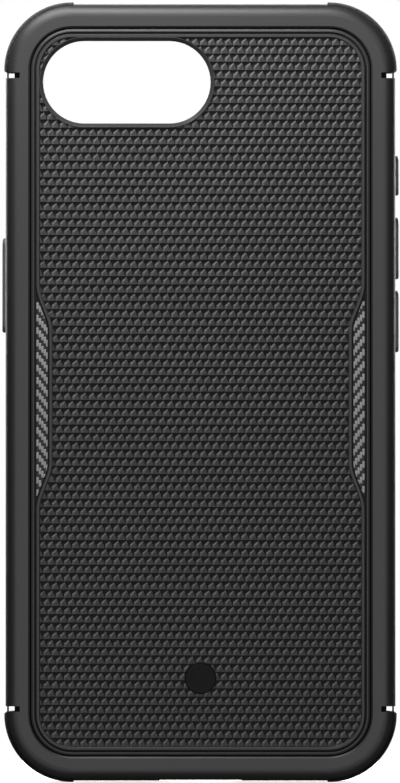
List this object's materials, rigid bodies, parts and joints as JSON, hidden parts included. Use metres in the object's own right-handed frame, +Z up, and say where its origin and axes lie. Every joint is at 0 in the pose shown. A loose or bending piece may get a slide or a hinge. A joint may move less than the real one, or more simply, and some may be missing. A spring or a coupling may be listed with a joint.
{
  "type": "phone case",
  "caption": "Rugged phone case with a bumper frame, soft inner sleeve, textured back plate, camera opening, corner guards and side buttons that press in.",
  "frame": {"origin": "bottom centre of the case's overall box, standing upright on its two lower corner guards", "axes": "+Z up the length of the phone, -Y the back (camera side), +X to the right seen from behind"},
  "size_m": [0.077, 0.0116, 0.1514],
  "materials": {
    "frame_polycarbonate": "fine matte black",
    "sleeve_rubber": "soft black",
    "plate_polycarbonate": "satin black, moulded scales",
    "rim_polycarbonate": "smooth satin black",
    "badge_black": "deep black",
    "inlay_weave": "grey and black twill weave",
    "guard_rubber": "rough black grain",
    "button_polycarbonate": "satin dark grey"
  },
  "bodies": {
    "case": {"bumper_frame": "frame_polycarbonate", "inner_sleeve": "sleeve_rubber", "back_plate": "plate_polycarbonate", "camera_rim": "rim_polycarbonate", "badge": "badge_black", "inlay_left": "inlay_weave", "inlay_right": "inlay_weave", "corner_guard_top_left": "guard_rubber", "corner_guard_top_right": "guard_rubber", "corner_guard_bottom_left": "guard_rubber", "corner_guard_bottom_right": "guard_rubber"},
    "power_cap": {"power_button": "button_polycarbonate"},
    "action_cap": {"action_button": "button_polycarbonate"},
    "volume_up_cap": {"volume_up_button": "button_polycarbonate"},
    "volume_down_cap": {"volume_down_button": "button_polycarbonate"}
  },
  "joints": [
    {"name": "power_press", "type": "slide", "parent": "case", "child": "power_cap", "axis": [1, 0, 0], "range_m": [0, 0.00035], "stiffness_N_per_m": 1200},
    {"name": "action_press", "type": "slide", "parent": "case", "child": "action_cap", "axis": [-1, 0, 0], "range_m": [0, 0.00035], "stiffness_N_per_m": 1200},
    {"name": "volume_up_press", "type": "slide", "parent": "case", "child": "volume_up_cap", "axis": [-1, 0, 0], "range_m": [0, 0.00035], "stiffness_N_per_m": 1200},
    {"name": "volume_down_press", "type": "slide", "parent": "case", "child": "volume_down_cap", "axis": [-1, 0, 0], "range_m": [0, 0.00035], "stiffness_N_per_m": 1200}
  ]
}
